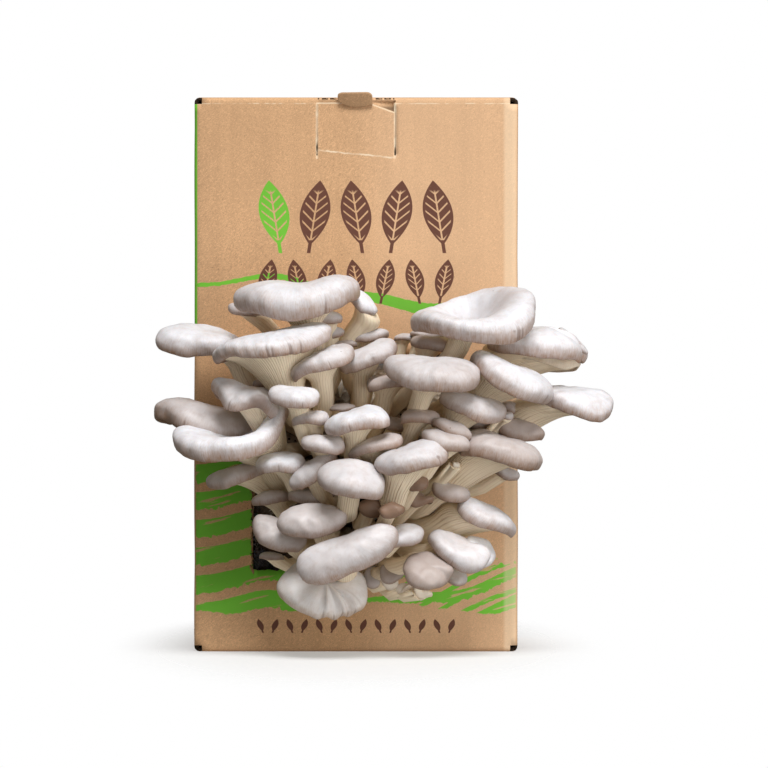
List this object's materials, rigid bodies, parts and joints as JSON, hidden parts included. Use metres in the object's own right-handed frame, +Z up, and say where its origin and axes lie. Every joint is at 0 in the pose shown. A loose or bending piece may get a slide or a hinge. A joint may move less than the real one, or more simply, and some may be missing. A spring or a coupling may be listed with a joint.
{
  "type": "oyster mushroom grow kit",
  "caption": "Upright cardboard grow kit with a bagged substrate block inside, and a crop of oyster mushrooms fanning out of the window cut in its front.",
  "frame": {"origin": "middle of the underside of the carton", "axes": "+Z up along the carton's height, -Y out of the front that the mushrooms grow from, +X to the right of someone who faces that front"},
  "size_m": [0.186, 0.168, 0.2319],
  "materials": {
    "kraft_board": "uncoated brown kraft corrugated board, matte",
    "bag_film": "thin pale polypropylene film, slightly glossy",
    "substrate": "damp dark coffee and sawdust substrate with white threads, rough",
    "mushroom_flesh": "pale grey satin cap skin over cream gills and stem"
  },
  "bodies": {
    "root": {"carton": "kraft_board", "grow_bag": "bag_film", "substrate_block": "substrate", "mushroom_01": "mushroom_flesh", "mushroom_02": "mushroom_flesh", "mushroom_03": "mushroom_flesh", "mushroom_04": "mushroom_flesh", "mushroom_05": "mushroom_flesh", "mushroom_06": "mushroom_flesh", "mushroom_07": "mushroom_flesh", "mushroom_08": "mushroom_flesh", "mushroom_09": "mushroom_flesh", "mushroom_10": "mushroom_flesh", "mushroom_11": "mushroom_flesh", "mushroom_12": "mushroom_flesh", "mushroom_13": "mushroom_flesh", "mushroom_14": "mushroom_flesh", "mushroom_15": "mushroom_flesh", "mushroom_16": "mushroom_flesh", "mushroom_17": "mushroom_flesh", "mushroom_18": "mushroom_flesh", "mushroom_19": "mushroom_flesh", "mushroom_20": "mushroom_flesh", "mushroom_21": "mushroom_flesh", "mushroom_22": "mushroom_flesh", "mushroom_23": "mushroom_flesh", "mushroom_24": "mushroom_flesh", "mushroom_25": "mushroom_flesh", "mushroom_26": "mushroom_flesh", "mushroom_27": "mushroom_flesh", "mushroom_28": "mushroom_flesh", "mushroom_29": "mushroom_flesh", "mushroom_30": "mushroom_flesh", "mushroom_31": "mushroom_flesh", "mushroom_32": "mushroom_flesh", "mushroom_33": "mushroom_flesh", "mushroom_34": "mushroom_flesh", "mushroom_35": "mushroom_flesh", "mushroom_36": "mushroom_flesh", "mushroom_37": "mushroom_flesh", "mushroom_38": "mushroom_flesh", "mushroom_39": "mushroom_flesh", "mushroom_40": "mushroom_flesh", "mushroom_41": "mushroom_flesh", "mushroom_42": "mushroom_flesh", "mushroom_43": "mushroom_flesh", "mushroom_44": "mushroom_flesh", "mushroom_45": "mushroom_flesh", "mushroom_46": "mushroom_flesh", "mushroom_47": "mushroom_flesh", "mushroom_48": "mushroom_flesh", "mushroom_49": "mushroom_flesh", "mushroom_50": "mushroom_flesh", "mushroom_51": "mushroom_flesh", "mushroom_52": "mushroom_flesh", "mushroom_53": "mushroom_flesh", "mushroom_54": "mushroom_flesh", "mushroom_55": "mushroom_flesh", "mushroom_56": "mushroom_flesh"}
  },
  "joints": []
}
